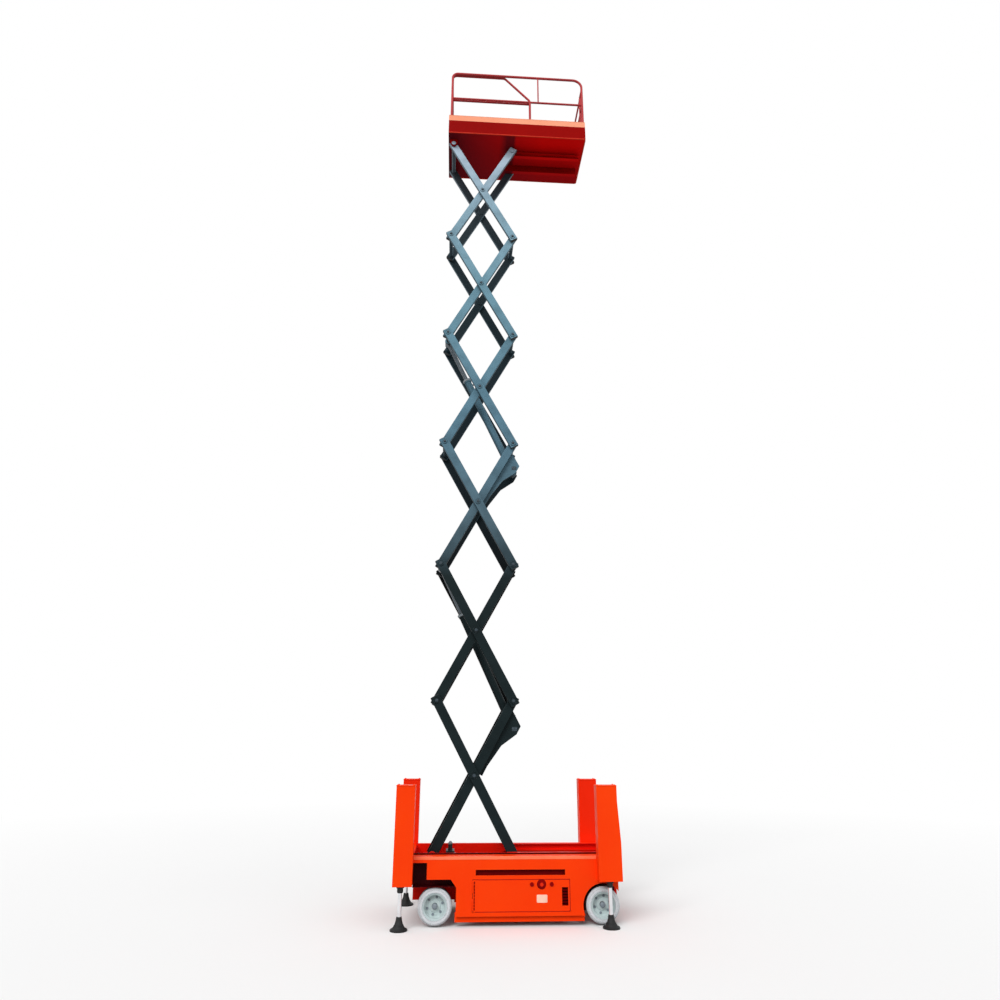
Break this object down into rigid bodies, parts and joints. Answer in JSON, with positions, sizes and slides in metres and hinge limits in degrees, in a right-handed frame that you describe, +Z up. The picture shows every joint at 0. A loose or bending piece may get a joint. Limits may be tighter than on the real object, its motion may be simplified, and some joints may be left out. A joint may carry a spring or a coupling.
{
  "type": "scissor lift",
  "caption": "Self-propelled scissor lift on stabilizer legs: open base with steered wheels, stacked crossed arms and a railed platform with a roll-out extension.",
  "frame": {"origin": "on the floor under the middle of the lift, between its feet", "axes": "+X towards the rear of the lift (right in the picture), +Y away from the camera, +Z up"},
  "size_m": [2.5699, 1.442, 12.484],
  "materials": {
    "base_red": "gloss",
    "platform_red": "gloss",
    "arm_grey": "satin",
    "axle_black": "satin",
    "rod_chrome": "polished",
    "foot_black": "matte",
    "tyre_pale": "matte",
    "rim_pale": "gloss",
    "control_maroon": "matte",
    "battery_black": "matte",
    "roller_grey": "satin"
  },
  "bodies": {
    "chassis": {"chassis_tub": "base_red", "front_beam": "base_red", "side_panel_near": "base_red", "side_panel_far": "base_red", "battery_pack": "battery_black", "hydraulic_unit": "axle_black", "front_axle": "axle_black", "rear_drives": "axle_black", "leg_housings": "base_red", "leg_glands": "foot_black"},
    "door_near": {"door_near": "base_red", "ground_controls": "control_maroon"},
    "door_far": {"door_far": "base_red"},
    "pothole_guards": {"pothole_guards": "base_red"},
    "knuckle_near": {"knuckle_near": "axle_black"},
    "knuckle_far": {"knuckle_far": "axle_black"},
    "tie_rod": {"tie_rod": "axle_black"},
    "wheel_front_near": {"tyre_front_near": "tyre_pale", "rim_front_near": "rim_pale"},
    "leg_front_near": {"leg_rod_front_near": "rod_chrome", "foot_front_near": "foot_black"},
    "wheel_front_far": {"tyre_front_far": "tyre_pale", "rim_front_far": "rim_pale"},
    "leg_front_far": {"leg_rod_front_far": "rod_chrome", "foot_front_far": "foot_black"},
    "wheel_rear_near": {"tyre_rear_near": "tyre_pale", "rim_rear_near": "rim_pale"},
    "leg_rear_near": {"leg_rod_rear_near": "rod_chrome", "foot_rear_near": "foot_black"},
    "wheel_rear_far": {"tyre_rear_far": "tyre_pale", "rim_rear_far": "rim_pale"},
    "leg_rear_far": {"leg_rod_rear_far": "rod_chrome", "foot_rear_far": "foot_black"},
    "inner_1": {"inner_arms_1": "arm_grey", "bracket_lower": "arm_grey"},
    "outer_1": {"outer_arms_1": "arm_grey", "base_rollers": "roller_grey"},
    "inner_2": {"inner_arms_2": "arm_grey"},
    "outer_2": {"outer_arms_2": "arm_grey"},
    "inner_3": {"inner_arms_3": "arm_grey", "bracket_upper": "arm_grey"},
    "outer_3": {"outer_arms_3": "arm_grey"},
    "inner_4": {"inner_arms_4": "arm_grey"},
    "outer_4": {"outer_arms_4": "arm_grey"},
    "inner_5": {"inner_arms_5": "arm_grey"},
    "outer_5": {"outer_arms_5": "arm_grey"},
    "inner_6": {"inner_arms_6": "arm_grey", "deck_rollers": "roller_grey"},
    "outer_6": {"outer_arms_6": "arm_grey"},
    "barrel_lower": {"barrel_lower": "arm_grey"},
    "rod_lower": {"lift_rod_lower": "rod_chrome"},
    "barrel_upper": {"barrel_upper": "arm_grey"},
    "rod_upper": {"lift_rod_upper": "rod_chrome"},
    "platform": {"platform_deck": "platform_red", "toe_boards": "base_red", "main_rails": "platform_red"},
    "extension": {"extension_deck": "platform_red", "extension_rails": "platform_red"},
    "gate": {"entry_gate": "platform_red"}
  },
  "joints": [
    {"name": "lift", "type": "hinge", "parent": "chassis", "child": "inner_1", "pos_m": [-0.86, 0, 0.688], "axis": [0, 1, 0], "range_deg": [0, 57.6]},
    {"name": "centre_1", "type": "hinge", "parent": "inner_1", "child": "outer_1", "pos_m": [-0.38458, 0, 1.55638], "axis": [0, 1, 0], "range_deg": [-115.7, 0]},
    {"name": "level_1", "type": "hinge", "parent": "outer_1", "child": "inner_2", "pos_m": [-0.86, 0, 2.42475], "axis": [0, 1, 0], "range_deg": [0, 115.7]},
    {"name": "centre_2", "type": "hinge", "parent": "inner_2", "child": "outer_2", "pos_m": [-0.38458, 0, 3.29312], "axis": [0, 1, 0], "range_deg": [-115.7, 0]},
    {"name": "level_2", "type": "hinge", "parent": "outer_2", "child": "inner_3", "pos_m": [-0.86, 0, 4.1615], "axis": [0, 1, 0], "range_deg": [0, 115.7]},
    {"name": "centre_3", "type": "hinge", "parent": "inner_3", "child": "outer_3", "pos_m": [-0.38458, 0, 5.02987], "axis": [0, 1, 0], "range_deg": [-115.7, 0]},
    {"name": "level_3", "type": "hinge", "parent": "outer_3", "child": "inner_4", "pos_m": [-0.86, 0, 5.89825], "axis": [0, 1, 0], "range_deg": [0, 115.7]},
    {"name": "centre_4", "type": "hinge", "parent": "inner_4", "child": "outer_4", "pos_m": [-0.38458, 0, 6.76662], "axis": [0, 1, 0], "range_deg": [-115.7, 0]},
    {"name": "level_4", "type": "hinge", "parent": "outer_4", "child": "inner_5", "pos_m": [-0.86, 0, 7.635], "axis": [0, 1, 0], "range_deg": [0, 115.7]},
    {"name": "centre_5", "type": "hinge", "parent": "inner_5", "child": "outer_5", "pos_m": [-0.38458, 0, 8.50337], "axis": [0, 1, 0], "range_deg": [-115.7, 0]},
    {"name": "level_5", "type": "hinge", "parent": "outer_5", "child": "inner_6", "pos_m": [-0.86, 0, 9.37175], "axis": [0, 1, 0], "range_deg": [0, 115.7]},
    {"name": "centre_6", "type": "hinge", "parent": "inner_6", "child": "outer_6", "pos_m": [-0.38458, 0, 10.24012], "axis": [0, 1, 0], "range_deg": [-115.7, 0]},
    {"name": "platform_level", "type": "hinge", "parent": "outer_6", "child": "platform", "pos_m": [-0.86, 0, 11.1085], "axis": [0, 1, 0], "range_deg": [0, 58.1]},
    {"name": "cylinder_lower_swing", "type": "hinge", "parent": "inner_1", "child": "barrel_lower", "pos_m": [0.11427, 0, 2.09271], "axis": [0, 1, 0], "range_deg": [-112.09, 0]},
    {"name": "cylinder_lower_rod", "type": "slide", "parent": "barrel_lower", "child": "rod_lower", "axis": [-0.4261, 0, 0.9047], "range_m": [-0.55292, 0]},
    {"name": "cylinder_upper_swing", "type": "hinge", "parent": "inner_3", "child": "barrel_upper", "pos_m": [0.11427, 0, 5.56621], "axis": [0, 1, 0], "range_deg": [-112.09, 0]},
    {"name": "cylinder_upper_rod", "type": "slide", "parent": "barrel_upper", "child": "rod_upper", "axis": [-0.4261, 0, 0.9047], "range_m": [-0.55292, 0]},
    {"name": "guards_up", "type": "slide", "parent": "chassis", "child": "pothole_guards", "axis": [0, 0, 1], "range_m": [0, 0.061]},
    {"name": "steer", "type": "hinge", "parent": "chassis", "child": "knuckle_near", "pos_m": [-0.808, -0.358, 0.2055], "axis": [0, 0, 1], "range_deg": [-55, 55]},
    {"name": "steer_far", "type": "hinge", "parent": "chassis", "child": "knuckle_far", "pos_m": [-0.808, 0.358, 0.2055], "axis": [0, 0, 1], "range_deg": [-55.5, 55.5]},
    {"name": "tie_rod_turn", "type": "hinge", "parent": "knuckle_near", "child": "tie_rod", "pos_m": [-0.698, -0.358, 0.128], "axis": [0, 0, 1], "range_deg": [-55.5, 55.5]},
    {"name": "wheel_front_near_turn", "type": "hinge", "parent": "knuckle_near", "child": "wheel_front_near", "pos_m": [-0.808, -0.4615, 0.2055], "axis": [0, 1, 0], "continuous": true},
    {"name": "wheel_front_far_turn", "type": "hinge", "parent": "knuckle_far", "child": "wheel_front_far", "pos_m": [-0.808, 0.4615, 0.2055], "axis": [0, 1, 0], "continuous": true},
    {"name": "wheel_rear_near_turn", "type": "hinge", "parent": "chassis", "child": "wheel_rear_near", "pos_m": [1.08387, -0.4615, 0.2055], "axis": [0, 1, 0], "continuous": true},
    {"name": "wheel_rear_far_turn", "type": "hinge", "parent": "chassis", "child": "wheel_rear_far", "pos_m": [1.08387, 0.4615, 0.2055], "axis": [0, 1, 0], "continuous": true},
    {"name": "leg_front_near_lift", "type": "slide", "parent": "chassis", "child": "leg_front_near", "axis": [0, 0, 1], "range_m": [0, 0.23]},
    {"name": "leg_front_far_lift", "type": "slide", "parent": "chassis", "child": "leg_front_far", "axis": [0, 0, 1], "range_m": [0, 0.23]},
    {"name": "leg_rear_near_lift", "type": "slide", "parent": "chassis", "child": "leg_rear_near", "axis": [0, 0, 1], "range_m": [0, 0.23]},
    {"name": "leg_rear_far_lift", "type": "slide", "parent": "chassis", "child": "leg_rear_far", "axis": [0, 0, 1], "range_m": [0, 0.23]},
    {"name": "door_near_swing", "type": "hinge", "parent": "chassis", "child": "door_near", "pos_m": [-0.392, -0.548, 0.3], "axis": [0, 0, -1], "range_deg": [0, 105]},
    {"name": "door_far_swing", "type": "hinge", "parent": "chassis", "child": "door_far", "pos_m": [-0.392, 0.548, 0.3], "axis": [0, 0, 1], "range_deg": [0, 105]},
    {"name": "extension_out", "type": "slide", "parent": "platform", "child": "extension", "axis": [-1, 0, 0], "range_m": [0, 0.9]},
    {"name": "gate_swing", "type": "hinge", "parent": "platform", "child": "gate", "pos_m": [1.23987, 0.267, 11.82], "axis": [0, 0, -1], "range_deg": [0, 85]}
  ],
  "couplings": [
    {"joint": "centre_1", "follows": "lift", "ratio": -2},
    {"joint": "level_1", "follows": "lift", "ratio": 2},
    {"joint": "centre_2", "follows": "lift", "ratio": -2},
    {"joint": "level_2", "follows": "lift", "ratio": 2},
    {"joint": "centre_3", "follows": "lift", "ratio": -2},
    {"joint": "level_3", "follows": "lift", "ratio": 2},
    {"joint": "centre_4", "follows": "lift", "ratio": -2},
    {"joint": "level_4", "follows": "lift", "ratio": 2},
    {"joint": "centre_5", "follows": "lift", "ratio": -2},
    {"joint": "level_5", "follows": "lift", "ratio": 2},
    {"joint": "centre_6", "follows": "lift", "ratio": -2},
    {"joint": "platform_level", "follows": "lift", "ratio": 1},
    {"joint": "cylinder_lower_swing", "follows": "lift", "ratio": -1.9374},
    {"joint": "cylinder_lower_rod", "follows": "lift", "m_per_rad": -0.54502},
    {"joint": "cylinder_upper_swing", "follows": "lift", "ratio": -1.9374},
    {"joint": "cylinder_upper_rod", "follows": "lift", "m_per_rad": -0.54502},
    {"joint": "guards_up", "follows": "lift", "m_per_rad": 0.059683},
    {"joint": "steer_far", "follows": "steer", "ratio": 1},
    {"joint": "tie_rod_turn", "follows": "steer", "ratio": -1}
  ]
}
